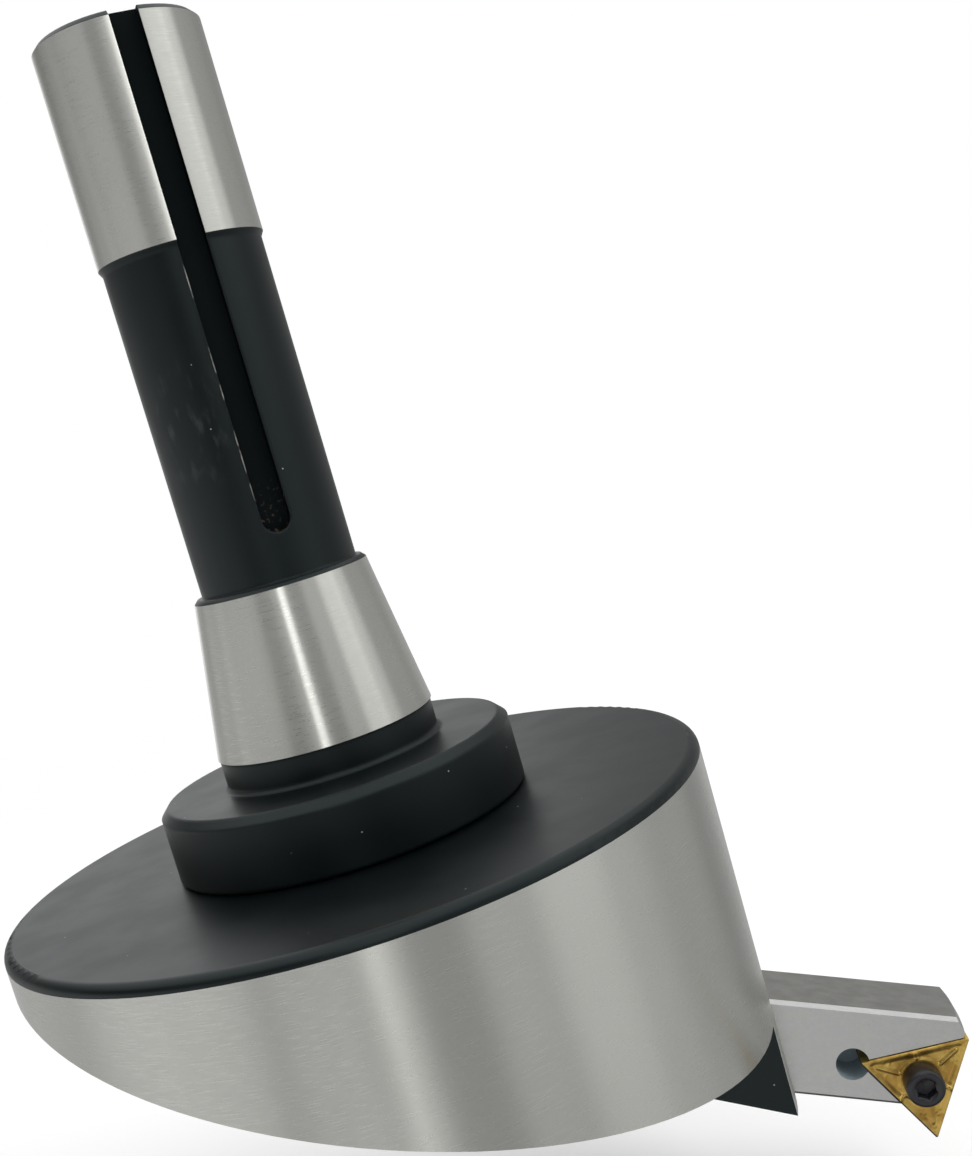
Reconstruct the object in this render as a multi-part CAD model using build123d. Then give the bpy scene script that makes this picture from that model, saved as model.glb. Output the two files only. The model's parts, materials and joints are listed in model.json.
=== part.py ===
from build123d import *

import os
from math import cos, radians, sin, tan

# Fly cutter for a milling spindle, in millimetres.
# +Z runs up the spindle shank. The origin is on the axis, at the taper's gauge line.
# +X points to the low side of the body, where the tool bar comes out.
# -Y is the side that leads in the cut, so the cutting face looks that way.

# Spindle shank
GAUGE_DIAMETER = 31.75
TAPER_INCLUDED_ANGLE = 16 + 51 / 60
TAPER_ABOVE_GAUGE = 19.6
TAPER_BELOW_GAUGE = 3.1
TAPER_EDGE_CHAMFER = 0.6
RELIEVED_DIAMETER = 23.2
PILOT_DIAMETER = 24.1
PILOT_LENGTH = 31.2
PILOT_LEAD_LENGTH = 0.8
SHANK_ABOVE_GAUGE = 99.8
SHANK_TOP_CHAMFER = 0.8

# Keyway of the shank
KEYWAY_WIDTH = 4.06
KEYWAY_DEPTH = 2.5
KEYWAY_END_ABOVE_GAUGE = 26.9
KEYWAY_AZIMUTH = -67.0

# Drawbar thread, 7/16-20, drilled to its minor diameter
DRAWBAR_HOLE_DIAMETER = 9.92
DRAWBAR_THREAD_LENGTH = 31.75
DRAWBAR_MOUTH_CHAMFER = 0.9
DRILL_POINT_ANGLE = 118.0

# Neck, flange and the threaded stub that holds the body
NECK_DIAMETER = 32.2
NECK_LENGTH = 4.55
NECK_ROOT_CHAMFER = 0.5
FLANGE_DIAMETER = 53.0
FLANGE_THICKNESS = 10.7
FLANGE_TOP_CHAMFER = 1.2
FLANGE_BOTTOM_CHAMFER = 0.5
STUB_DIAMETER = 22.2
STUB_LENGTH = 13.0
STUB_CHAMFER = 1.0
STUB_END_GAP = 1.0
THREAD_CLEARANCE = 0.05

# Cutter body
BODY_DIAMETER = 105.0
BODY_EDGE_FILLET = 1.47
SLOT_SLOPE = 20.0
SLOT_FLOOR_BELOW_TOP = 22.95
UNDERSIDE_SLOPE = 25.7
UNDERSIDE_BELOW_TOP = 32.2
FRONT_UNDERSIDE_SLOPE = 20.5
FRONT_UNDERSIDE_BELOW_TOP = 23.35
FRONT_WALL = 6.5

# Tool bar
BAR_HEIGHT = 14.4
BAR_DEPTH = 12.0
BAR_LENGTH = 89.0
BAR_BEVEL = 0.55
BAR_OVERHANG = 29.53
BAR_NOSE_DROP = 2.9
BAR_TOP_SETBACK = 2.05
BAR_END_CROWN_RADIUS = 40.0
BAR_BEHIND_EDGE = 0.8
SLIDE_CLEARANCE = 0.05

# Set screws that clamp the bar, 1/4 inch
SET_SCREW_PLACES = ["inner", "middle", "outer"]
SET_SCREW_DIAMETER = 6.35
SET_SCREW_LENGTH = 6.35
SET_SCREW_HEX = 3.175
SET_SCREW_HEX_DEPTH = 3.0
SET_SCREW_CHAMFER = 0.6
SET_SCREW_CUP_DIAMETER = 3.3
SET_SCREW_DROP = 5.5
SET_SCREW_FROM_RIM = 7.9
SET_SCREW_PITCH = 17.0

# Insert
INSERT_CIRCLE = 9.525
INSERT_THICKNESS = 4.76
INSERT_HOLE = 3.81
INSERT_HOLE_CHAMFER = 0.35
INSERT_NOSE_RADIUS = 0.2
INSERT_HONE = 0.12
INSERT_BEHIND_NOSE = 6.0
INSERT_DROP = 10.0
INSERT_PROUD = 0.3
BREAKER_LAND = 0.45
BREAKER_DEPTH = 0.3
BREAKER_WALL_ANGLE = 55.0
ISLAND_INSET = 1.55
ISLAND_CORNER_RADIUS = 1.6
POCKET_CLEARANCE = 0.12
CORNER_HOLE = 5.0
CORNER_HOLE_OFFSET = 1.0
CORNER_HOLE_EXTRA_DEPTH = 1.5

# Insert screw, #6 socket cap screw
CAP_HEAD_DIAMETER = 5.74
CAP_HEAD_HEIGHT = 3.5
CAP_HEAD_CHAMFER = 0.35
CAP_HEX = 2.78
CAP_HEX_DEPTH = 1.9
CAP_SHANK_DIAMETER = 3.5
CAP_SHANK_LENGTH = 9.525
CAP_SHANK_CHAMFER = 0.3

# The insert's triangle stands on one corner: each corner is 60 degrees, and its
# outer edge leans half of that from upright
TRIANGLE_CORNER = 60.0
EDGE_LEAN = TRIANGLE_CORNER / 2

# How far cutting shapes run past the metal that they cut
MARGIN = 5.0

# Heights worked out from the sizes above
FLANGE_TOP = -TAPER_BELOW_GAUGE - NECK_LENGTH
BODY_TOP = FLANGE_TOP - FLANGE_THICKNESS
SLOT_FLOOR_AT_AXIS = BODY_TOP - SLOT_FLOOR_BELOW_TOP
UNDERSIDE_AT_AXIS = BODY_TOP - UNDERSIDE_BELOW_TOP
FRONT_UNDERSIDE_AT_AXIS = BODY_TOP - FRONT_UNDERSIDE_BELOW_TOP
PILOT_BOTTOM = SHANK_ABOVE_GAUGE - PILOT_LENGTH

# Distances along the bar from the axis: the body's rim, the bar's nose and the insert
RIM_ALONG = BODY_DIAMETER / 2 / cos(radians(SLOT_SLOPE))
BAR_NOSE_ALONG = RIM_ALONG + BAR_OVERHANG
INSERT_ALONG = BAR_NOSE_ALONG - INSERT_BEHIND_NOSE

# The bar's own plane: x along the bar, y down across it, z back into it from the cutting face
BAR_DIRECTION = Vector(cos(radians(SLOT_SLOPE)), 0, -sin(radians(SLOT_SLOPE)))
BAR_DOWN = Vector(-sin(radians(SLOT_SLOPE)), 0, -cos(radians(SLOT_SLOPE)))
SLOT_ORIGIN = Vector(0, 0, SLOT_FLOOR_AT_AXIS)
BAR_ORIGIN = SLOT_ORIGIN + BAR_DOWN * SLIDE_CLEARANCE
BAR_PLANE = Plane(origin=BAR_ORIGIN, x_dir=BAR_DIRECTION, z_dir=(0, 1, 0))

# The insert's own plane, with its origin at the middle of the insert on the cutting face
INSERT_CENTRE = BAR_ORIGIN + BAR_DIRECTION * INSERT_ALONG + BAR_DOWN * INSERT_DROP
INSERT_PLANE = Plane(origin=INSERT_CENTRE, x_dir=(1, 0, 0), z_dir=(0, 1, 0))


def revolved(outline):
    """A solid of revolution about Z from a list of (radius, height) points."""
    points = [(radius, 0, height) for radius, height in outline]
    return revolve(make_face(Polyline(*points, close=True)), Axis.Z)


def rims(solid, radius, height):
    """The round edges of this radius that lie flat at this height."""
    near = 0.01
    circles = solid.edges().filter_by(GeomType.CIRCLE)
    return [e for e in circles if abs(e.radius - radius) < near and abs(e.arc_center.Z - height) < near]


def rod(plane, x, y, start, end, diameter):
    """A round rod along a plane's normal, from one depth to another."""
    bottom = plane * Pos(x, y, start) * Circle(diameter / 2)
    return extrude(bottom, amount=end - start, dir=plane.z_dir)


def hexagon_prism(plane, x, y, start, depth, across_flats):
    """A hexagon socket's space along a plane's normal."""
    sketch = plane * Pos(x, y, start) * RegularPolygon(across_flats / 2, 6, major_radius=False)
    return extrude(sketch, amount=depth, dir=plane.z_dir)


def taper_radius(height):
    return GAUGE_DIAMETER / 2 - height * tan(radians(TAPER_INCLUDED_ANGLE / 2))


def keyway_space():
    """The keyway: a slot cut by an end mill, open at the top of the shank."""
    outward = Vector(cos(radians(KEYWAY_AZIMUTH)), sin(radians(KEYWAY_AZIMUTH)), 0)
    floor = outward * (PILOT_DIAMETER / 2 - KEYWAY_DEPTH)
    end_centre = KEYWAY_END_ABOVE_GAUGE + KEYWAY_WIDTH / 2
    run = SHANK_ABOVE_GAUGE + MARGIN - end_centre
    plane = Plane(origin=(floor.X, floor.Y, end_centre), x_dir=(0, 0, 1), z_dir=outward)
    outline = Circle(KEYWAY_WIDTH / 2) + Pos(run / 2, 0) * Rectangle(run, KEYWAY_WIDTH)
    return extrude(plane * outline, amount=KEYWAY_DEPTH + MARGIN)


def drawbar_space():
    """The drawbar's threaded hole, with its countersunk mouth and its drill point."""
    radius = DRAWBAR_HOLE_DIAMETER / 2
    mouth = SHANK_ABOVE_GAUGE - DRAWBAR_MOUTH_CHAMFER
    bottom = mouth - DRAWBAR_THREAD_LENGTH
    tip = bottom - radius / tan(radians(DRILL_POINT_ANGLE / 2))
    flare = radius + DRAWBAR_MOUTH_CHAMFER + MARGIN
    outline = [(0, tip), (radius, bottom), (radius, mouth), (flare, SHANK_ABOVE_GAUGE + MARGIN)]
    return revolved(outline + [(0, SHANK_ABOVE_GAUGE + MARGIN)])


def make_arbor():
    taper_top = TAPER_ABOVE_GAUGE
    taper_bottom = -TAPER_BELOW_GAUGE
    pilot = PILOT_DIAMETER / 2
    relieved = RELIEVED_DIAMETER / 2
    flange = FLANGE_DIAMETER / 2
    neck = NECK_DIAMETER / 2
    stub = STUB_DIAMETER / 2
    stub_end = BODY_TOP - STUB_LENGTH
    shoulder = taper_radius(taper_top) - TAPER_EDGE_CHAMFER
    arbor = revolved([
        (0, stub_end),
        (stub - STUB_CHAMFER, stub_end),
        (stub, stub_end + STUB_CHAMFER),
        (stub, BODY_TOP),
        (flange - FLANGE_BOTTOM_CHAMFER, BODY_TOP),
        (flange, BODY_TOP + FLANGE_BOTTOM_CHAMFER),
        (flange, FLANGE_TOP - FLANGE_TOP_CHAMFER),
        (flange - FLANGE_TOP_CHAMFER, FLANGE_TOP),
        (neck + NECK_ROOT_CHAMFER, FLANGE_TOP),
        (neck, FLANGE_TOP + NECK_ROOT_CHAMFER),
        (neck, taper_bottom),
        (taper_radius(taper_bottom), taper_bottom),
        (taper_radius(taper_top), taper_top),
        (shoulder, taper_top + TAPER_EDGE_CHAMFER),
        (relieved, taper_top + TAPER_EDGE_CHAMFER),
        (relieved, PILOT_BOTTOM - PILOT_LEAD_LENGTH),
        (pilot, PILOT_BOTTOM),
        (pilot, SHANK_ABOVE_GAUGE - SHANK_TOP_CHAMFER),
        (pilot - SHANK_TOP_CHAMFER, SHANK_ABOVE_GAUGE),
        (0, SHANK_ABOVE_GAUGE),
    ])
    return arbor - keyway_space() - drawbar_space()


def body_lowest():
    """A height that the slanted underside stays above."""
    return UNDERSIDE_AT_AXIS - (BODY_DIAMETER / 2 + MARGIN) * tan(radians(UNDERSIDE_SLOPE))


def slanted_space(height_at_axis, slope, front, back):
    """All the space under a plane that falls towards +X, between two Y positions."""
    reach = BODY_DIAMETER / 2 + MARGIN
    fall = reach * tan(radians(slope))
    floor = body_lowest() - MARGIN
    corners = [(-reach, 0, height_at_axis + fall), (reach, 0, height_at_axis - fall)]
    corners += [(reach, 0, floor), (-reach, 0, floor)]
    side = make_face(Polyline(*corners, close=True))
    return extrude(Pos(0, front, 0) * side, amount=back - front, dir=(0, 1, 0))


def set_screw_positions():
    """How far along the bar the set screws lie, from the inner one to the outer one."""
    outer = RIM_ALONG - SET_SCREW_FROM_RIM
    last = len(SET_SCREW_PLACES) - 1
    return [outer - SET_SCREW_PITCH * (last - i) for i in range(last + 1)]


def make_body():
    reach = BODY_DIAMETER / 2 + MARGIN
    radius = BODY_DIAMETER / 2
    lowest = body_lowest()
    body = Pos(0, 0, lowest) * extrude(Circle(radius), amount=BODY_TOP - lowest)
    body = fillet(rims(body, radius, BODY_TOP), BODY_EDGE_FILLET)
    body -= slanted_space(UNDERSIDE_AT_AXIS, UNDERSIDE_SLOPE, -reach, reach)
    body -= slanted_space(FRONT_UNDERSIDE_AT_AXIS, FRONT_UNDERSIDE_SLOPE, -reach, -FRONT_WALL)
    slot_back = BAR_DEPTH + SLIDE_CLEARANCE
    body -= slanted_space(SLOT_FLOOR_AT_AXIS, SLOT_SLOPE, -SLIDE_CLEARANCE, slot_back)
    socket_depth = STUB_LENGTH + STUB_END_GAP
    socket = Plane(origin=(0, 0, BODY_TOP - socket_depth))
    body -= rod(socket, 0, 0, 0, socket_depth, STUB_DIAMETER + 2 * THREAD_CLEARANCE)
    hole = SET_SCREW_DIAMETER + 2 * THREAD_CLEARANCE
    for along in set_screw_positions():
        body -= rod(BAR_PLANE, along, SET_SCREW_DROP, -FRONT_WALL - MARGIN, 0, hole)
    return body


def bar_end_space():
    """What the crowned upper end of the bar leaves free, beyond its top corner and its nose."""
    rise = Vector(BAR_NOSE_ALONG - BAR_TOP_SETBACK, 0) - Vector(BAR_NOSE_ALONG, BAR_NOSE_DROP)
    outward = Vector(-rise.Y, rise.X).normalized()
    sagitta = BAR_DEPTH ** 2 / 8 / BAR_END_CROWN_RADIUS
    axis_point = Vector(BAR_NOSE_ALONG, BAR_NOSE_DROP) - outward * (BAR_END_CROWN_RADIUS - sagitta)
    crown_plane = Plane(
        origin=(axis_point.X, axis_point.Y, BAR_DEPTH / 2),
        x_dir=(outward.X, outward.Y, 0),
        z_dir=(rise.X, rise.Y, 0),
    )
    width = 2 * MARGIN
    block = Pos(BAR_END_CROWN_RADIUS, 0, 0) * Box(width, BAR_DEPTH + width, 2 * BAR_HEIGHT)
    crown = Cylinder(BAR_END_CROWN_RADIUS, 2 * BAR_HEIGHT)
    return BAR_PLANE * (crown_plane * (block - crown))


def behind_edge_space():
    """The space in front of the insert's outer edge, where the bar stays back."""
    block = Pos(BAR_HEIGHT / 2, 0, BAR_DEPTH / 2) * Box(BAR_HEIGHT, 3 * BAR_HEIGHT, BAR_DEPTH + 2 * MARGIN)
    edge = INSERT_CIRCLE / 2 - BAR_BEHIND_EDGE
    return INSERT_PLANE * (Rot(0, 0, EDGE_LEAN) * (Pos(edge, 0, 0) * block))


def pocket_corner():
    """The insert's inner corner, where the pocket's two walls would meet."""
    return Vector(-INSERT_CIRCLE * cos(radians(EDGE_LEAN)), -INSERT_CIRCLE / 2)


def pocket_space():
    """The V pocket, open at the bar's end and below, as deep as the insert less what stands proud."""
    corner = pocket_corner()
    away = Vector(-POCKET_CLEARANCE * tan(radians(TRIANGLE_CORNER)), -POCKET_CLEARANCE)
    start = corner + away
    far = 2 * BAR_HEIGHT
    points = [
        (start.X, start.Y),
        (start.X + far, start.Y),
        (start.X + far * cos(radians(TRIANGLE_CORNER)), start.Y + far * sin(radians(TRIANGLE_CORNER))),
    ]
    wedge = make_face(Polyline(*points, close=True))
    depth = INSERT_THICKNESS - INSERT_PROUD
    return INSERT_PLANE * (Pos(0, 0, -MARGIN) * extrude(wedge, amount=depth + MARGIN))


def make_bar():
    start = BAR_NOSE_ALONG - BAR_LENGTH
    centre = Pos(start + BAR_LENGTH / 2, BAR_HEIGHT / 2, BAR_DEPTH / 2)
    bar = centre * Box(BAR_LENGTH, BAR_HEIGHT, BAR_DEPTH)
    inner_end = bar.faces().sort_by(Axis.X)[0]
    bar = chamfer(list(bar.edges().filter_by(Axis.X)) + list(inner_end.edges()), BAR_BEVEL)
    bar = BAR_PLANE * bar
    bar -= bar_end_space()
    bar -= behind_edge_space()
    bar -= pocket_space()
    corner = pocket_corner()
    depth = INSERT_THICKNESS - INSERT_PROUD + CORNER_HOLE_EXTRA_DEPTH
    bar -= rod(INSERT_PLANE, corner.X - CORNER_HOLE_OFFSET, corner.Y, -MARGIN, depth, CORNER_HOLE)
    tapped = CAP_SHANK_DIAMETER + 2 * THREAD_CLEARANCE
    return bar - rod(INSERT_PLANE, 0, 0, 0, BAR_DEPTH + MARGIN, tapped)


def insert_outline(inset, corner_radius):
    """The insert's triangle, drawn in by an inset and rounded at its corners."""
    triangle = RegularPolygon(INSERT_CIRCLE / 2 - inset, 3, major_radius=False, rotation=3 * EDGE_LEAN)
    return fillet(triangle.vertices(), corner_radius)


def chip_breaker():
    """The moulded groove inside the cutting edge, around the flat island at the middle."""
    groove_top = insert_outline(BREAKER_LAND, INSERT_NOSE_RADIUS / 2)
    groove = extrude(groove_top, amount=BREAKER_DEPTH, taper=BREAKER_WALL_ANGLE)
    island_top = insert_outline(ISLAND_INSET, ISLAND_CORNER_RADIUS)
    return groove - extrude(island_top, amount=BREAKER_DEPTH, taper=-BREAKER_WALL_ANGLE / 2)


def make_insert():
    insert = extrude(insert_outline(0, INSERT_NOSE_RADIUS), amount=INSERT_THICKNESS)
    faces = insert.faces().sort_by(Axis.Z)
    rim_edges = list(faces[0].edges()) + list(faces[-1].edges())
    insert = chamfer(rim_edges, INSERT_HONE)
    insert -= chip_breaker()
    insert -= Pos(0, 0, INSERT_THICKNESS) * mirror(chip_breaker(), Plane.XY)
    hole = INSERT_HOLE / 2
    mouth = hole + INSERT_HOLE_CHAMFER
    top = INSERT_THICKNESS
    insert -= revolved([
        (0, 0),
        (mouth, 0),
        (hole, INSERT_HOLE_CHAMFER),
        (hole, top - INSERT_HOLE_CHAMFER),
        (mouth, top),
        (0, top),
    ])
    return INSERT_PLANE * (Pos(0, 0, -INSERT_PROUD) * insert)


def make_insert_screw():
    """The cap screw: its head stands on the insert's face, its shank ends inside the bar."""
    head = CAP_HEAD_DIAMETER / 2
    shank = CAP_SHANK_DIAMETER / 2
    screw = revolved([
        (0, -CAP_HEAD_HEIGHT),
        (head - CAP_HEAD_CHAMFER, -CAP_HEAD_HEIGHT),
        (head, -CAP_HEAD_HEIGHT + CAP_HEAD_CHAMFER),
        (head, 0),
        (shank, 0),
        (shank, CAP_SHANK_LENGTH - CAP_SHANK_CHAMFER),
        (shank - CAP_SHANK_CHAMFER, CAP_SHANK_LENGTH),
        (0, CAP_SHANK_LENGTH),
    ])
    screw -= hexagon_prism(Plane.XY, 0, 0, -CAP_HEAD_HEIGHT - MARGIN, CAP_HEX_DEPTH + MARGIN, CAP_HEX)
    return INSERT_PLANE * (Pos(0, 0, -INSERT_PROUD) * screw)


def make_set_screw(along):
    """A cup-point set screw in the front wall, its point just off the bar's face."""
    radius = SET_SCREW_DIAMETER / 2
    cup = SET_SCREW_CUP_DIAMETER / 2
    point = -SLIDE_CLEARANCE
    outer = point - SET_SCREW_LENGTH
    point_chamfer = radius - cup
    screw = revolved([
        (0, outer),
        (radius - SET_SCREW_CHAMFER, outer),
        (radius, outer + SET_SCREW_CHAMFER),
        (radius, point - point_chamfer),
        (cup, point),
        (0, point - cup / 2),
    ])
    screw -= hexagon_prism(Plane.XY, 0, 0, outer - MARGIN, SET_SCREW_HEX_DEPTH + MARGIN, SET_SCREW_HEX)
    return BAR_PLANE * (Pos(along, SET_SCREW_DROP, 0) * screw)


def main():
    os.makedirs("parts", exist_ok=True)
    parts = {
        "arbor": make_arbor(),
        "cutter_body": make_body(),
        "tool_bar": make_bar(),
        "insert": make_insert(),
        "insert_screw": make_insert_screw(),
    }
    for place, along in zip(SET_SCREW_PLACES, set_screw_positions()):
        parts["bar_screw_" + place] = make_set_screw(along)
    for name, solid in parts.items():
        export_step(solid, os.path.join("parts", name + ".step"))


main()
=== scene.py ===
# %% [markdown]
# # A fly cutter, dressed in Blender
# A fly cutter is a milling tool with one cutting edge. A tapered shank goes up into the machine's
# spindle, a round body with a slanted underside is screwed under its flange, and a square tool bar
# comes out of the low side of the body with a small three-cornered insert at its end. The CAD model
# holds the sizes and the joints. This lesson gives each piece its finish, and makes the small moulded
# and threaded pieces that CAD keeps plainer. First the CAD frame is loaded, and its box is kept.

# %% The frame
import json
from math import atan2, cos, hypot, pi, radians, sin, tan

import bmesh
import bpy
from mathutils import Matrix, Vector


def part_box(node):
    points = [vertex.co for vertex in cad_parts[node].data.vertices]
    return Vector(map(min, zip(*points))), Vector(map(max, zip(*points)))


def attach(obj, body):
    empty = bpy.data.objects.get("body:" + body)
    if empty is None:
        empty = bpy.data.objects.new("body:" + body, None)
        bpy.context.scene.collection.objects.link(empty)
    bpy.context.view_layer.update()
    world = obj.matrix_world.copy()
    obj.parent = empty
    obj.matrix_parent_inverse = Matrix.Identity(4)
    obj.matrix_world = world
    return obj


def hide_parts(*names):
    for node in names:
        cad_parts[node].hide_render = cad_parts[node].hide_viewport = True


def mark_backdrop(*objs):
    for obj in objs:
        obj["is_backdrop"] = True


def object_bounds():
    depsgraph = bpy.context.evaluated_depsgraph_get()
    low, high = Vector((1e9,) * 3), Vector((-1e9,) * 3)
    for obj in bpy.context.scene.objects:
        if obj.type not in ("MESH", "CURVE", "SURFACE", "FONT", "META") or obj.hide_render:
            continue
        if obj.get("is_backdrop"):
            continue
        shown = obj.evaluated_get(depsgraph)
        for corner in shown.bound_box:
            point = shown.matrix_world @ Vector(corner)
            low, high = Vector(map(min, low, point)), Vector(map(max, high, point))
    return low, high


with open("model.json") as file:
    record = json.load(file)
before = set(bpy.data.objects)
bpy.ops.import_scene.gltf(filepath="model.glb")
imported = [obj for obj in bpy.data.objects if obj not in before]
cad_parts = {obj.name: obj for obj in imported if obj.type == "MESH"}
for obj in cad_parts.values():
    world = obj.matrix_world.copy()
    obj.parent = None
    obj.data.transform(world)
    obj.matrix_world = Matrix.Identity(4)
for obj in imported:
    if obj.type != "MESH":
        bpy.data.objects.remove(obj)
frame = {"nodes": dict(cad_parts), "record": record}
cad_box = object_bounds()
print("CAD nodes:", ", ".join(sorted(frame["nodes"])))

# %% [markdown]
# ## Sizes
# Lengths here are written in millimetres and multiplied by MM, because Blender counts in metres.
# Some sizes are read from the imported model, so that a changed CAD size changes the finish with it: the
# mounts tell where the ground pilot is and which way the keyway faces, and the boxes of the nodes tell
# how high the body stands and where the screws are. The taper, the keyway's width and floor, the bar's
# slope and relief hole, the insert and the screws' profiles are written down again in the cells that
# use them, so a change of one of those in CAD has to be made here too.

# %% Sizes
MM = 0.001
mounts = {mount["name"]: mount for mount in frame["record"]["mounts"]}
pilot = mounts["shank_pilot"]
pilot_radius = pilot["dims"]["r_mm"] * MM
pilot_half = pilot["dims"]["length_mm"] * MM / 2
pilot_low = pilot["pos_m"][2] - pilot_half
pilot_high = pilot["pos_m"][2] + pilot_half
keyway_at = mounts["drive_keyway"]["pos_m"]
keyway_angle = atan2(keyway_at[1], keyway_at[0])
body_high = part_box("cutter_body")[1]
body_top = body_high.z
body_radius = body_high.x
lowest = cad_box[0].z

TAPER_LOW = -3.1 * MM
TAPER_HIGH = 19.6 * MM
GAUGE_RADIUS = 15.875 * MM
TAPER_SLOPE = tan(radians(16.85 / 2))
BODY_EDGE = 1.47 * MM
BAR_SLOPE = radians(20)
print("body", round(body_radius / MM, 2), "mm in radius, its top at", round(body_top / MM, 2), "mm")

# %% [markdown]
# ## The camera
# The photograph was taken from a little above the body's rim with the camera rolled, so the shank
# leans to the left in the picture. The place, the direction and the lens were worked out from the
# outlines of the round pieces. A camera looks along its own -Z with +Y up, so its matrix is built
# from three directions: right, up and backwards.

# %% Camera
CAMERA_PLACE = Vector((52.01, -211.76, 35.91)) * MM
LOOKS_ALONG = Vector((-0.10662, 0.98794, -0.11231))
PICTURE_RIGHT = Vector((0.95891, 0.07231, -0.27433))
LENS = 46.005
SENSOR = 36.0

scene = bpy.context.scene
camera = bpy.data.objects.new("camera", bpy.data.cameras.new("camera"))
scene.collection.objects.link(camera)
backwards = -LOOKS_ALONG.normalized()
up = backwards.cross(PICTURE_RIGHT).normalized()
side = up.cross(backwards)
camera.matrix_world = Matrix((
    (side.x, up.x, backwards.x, CAMERA_PLACE.x),
    (side.y, up.y, backwards.y, CAMERA_PLACE.y),
    (side.z, up.z, backwards.z, CAMERA_PLACE.z),
    (0, 0, 0, 1),
))
camera.data.sensor_width = SENSOR
camera.data.lens = LENS
camera.data.clip_start = 1 * MM
camera.data.clip_end = 100
scene.camera = camera
print("camera", round(CAMERA_PLACE.length / MM), "mm from the gauge line")

# %% [markdown]
# ## A helper for shader trees
# Every finish below is a small tree of nodes. Written out in full, each node takes a line to make it
# and one more for each option and input. This helper makes a node, sets its options and fills its
# inputs, from a value or from another node's output, so that a tree reads from top to bottom.

# %% Shader helper
def add(tree, kind, inputs=None, **options):
    """Makes a node. Inputs are given by name or by number, as a value or as a socket to link."""
    return add_node(tree, "ShaderNode" + kind, inputs, options)


def add_node(tree, kind, inputs, options):
    made = tree.nodes.new(kind)
    for name, value in options.items():
        setattr(made, name, value)
    for key, value in (inputs or {}).items():
        fill(tree, made.inputs[key], value)
    return made


def fill(tree, socket, value):
    """Links a socket to another node's output, or sets it to a value."""
    if isinstance(value, bpy.types.NodeSocket):
        tree.links.new(value, socket)
    else:
        socket.default_value = value


def math(tree, operation, a, b=0.0, c=0.0):
    """One Math node's result."""
    return add(tree, "Math", {0: a, 1: b, 2: c}, operation=operation).outputs[0]


def ramp(tree, value, low, high, to_low=0.0, to_high=1.0):
    """A smooth step: to_low under one value, to_high over the other."""
    inputs = {"Value": value, "From Min": low, "From Max": high, "To Min": to_low, "To Max": to_high}
    return add(tree, "MapRange", inputs, interpolation_type="SMOOTHSTEP").outputs[0]


def blend_colours(tree, factor, a, b):
    """One colour over another."""
    made = add(tree, "Mix", {"Factor": factor}, data_type="RGBA")
    # A Mix node keeps its two colours in its seventh and eighth inputs
    fill(tree, made.inputs[6], a)
    fill(tree, made.inputs[7], b)
    return made.outputs[2]


def grey(level):
    return (level, level, level, 1)


# %% [markdown]
# ## The light
# Bright metal shows its surroundings more than its own colour, so the surroundings are the larger
# part of its look. The world has two answers. To the camera, and in any mirror or glass, it is plain
# white. To everything else it is a plain even light, so that a colour shows about as it is written.

# %% World
PLAIN_LEVEL = 0.86

scene.view_settings.view_transform = "Standard"
world = bpy.data.worlds.new("studio")
world.use_nodes = True
scene.world = world
world.cycles.sampling_method = "NONE"
tree = world.node_tree
tree.nodes.clear()
rays = add(tree, "LightPath").outputs
seen = math(tree, "MAXIMUM", rays["Is Camera Ray"], rays["Is Glossy Ray"])
seen = math(tree, "MAXIMUM", seen, rays["Is Transmission Ray"])
level = add(tree, "Mix", {"Factor": seen, "A": PLAIN_LEVEL, "B": 1.0}, data_type="FLOAT").outputs[0]
background = add(tree, "Background", {"Color": grey(1), "Strength": level})
add(tree, "OutputWorld", {"Surface": background.outputs[0]})

# %% [markdown]
# A steel tool in front of nothing but white would look like paper. A photographer stands grey cards
# round it and leaves gaps between them, and the steel shows the cards as bands. Here the cards are one
# big sphere that only mirror rays see. Its level depends on the direction, as the photograph's bands
# do: grey all round, with gaps where the white comes through, a thin bright lamp beside the camera
# and a few darker places. Each sector has soft edges. The sectors' names are only handles: what really
# stood there isn't known, and their levels were changed until the bands came near to the
# photograph's from this one side. It could be many small cards instead, but one surface needs no
# placing, throws no shadow and costs no samples.

# %% Cards that only metal sees
CARD_RADIUS = 3.0
# Three heights, as shares of the card's radius: the floor, the walls at eye level and above them
FLOOR_TO_WALL = (-0.25, -0.05)
WALL_TO_TOP = (0.08, 0.26)
PLAIN_CARD = (0.58, 0.43, 0.31)
# Each sector of the horizon: its middle, half its width, how soft its edges are, and then its
# change of the plain level at each of the three heights
SECTORS = {
    "window": (-20, 11, 5, (0.07, 0.38, 0.90)),
    "window_side": (0, 9, 5, (-0.05, 0.02, 0.95)),
    "right_corner": (33, 16, 8, (-0.12, 0.02, 0.06)),
    "far_corner": (55, 9, 6, (-0.25, -0.02, 0.02)),
    "white_backdrop": (112, 15, 7, (0.15, 0.52, 0.70)),
    "dark_door": (151, 6, 6, (0.00, 0.00, -0.16)),
    "bench_end": (174, 16, 10, (-0.06, 0.30, -0.14)),
    "pale_bench": (-148, 24, 12, (0.27, 0.44, -0.31)),
    "dark_coat": (-105, 7, 7, (0.45, -0.38, -0.31)),
    "round_the_lamp": (-86, 10, 5, (0.20, -0.05, -0.05)),
    "lamp_at_the_camera": (-81, 3.4, 2, (-0.12, -0.18, 3.60)),
    "lamp_line": (-82.5, 0.9, 0.8, (0.30, 0.50, 0.50)),
    "dark_sleeve": (-64, 8, 5, (-0.02, -0.36, -0.08)),
    "beside_the_window": (-45, 7, 4, (0.08, 0.12, 0.08)),
}
CEILING_LEVEL = 1.25
CEILING_EDGE = (0.40, 0.80)
OWN_SHADOW = 0.08
OWN_SHADOW_EDGE = (-0.85, -0.50)


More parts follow.
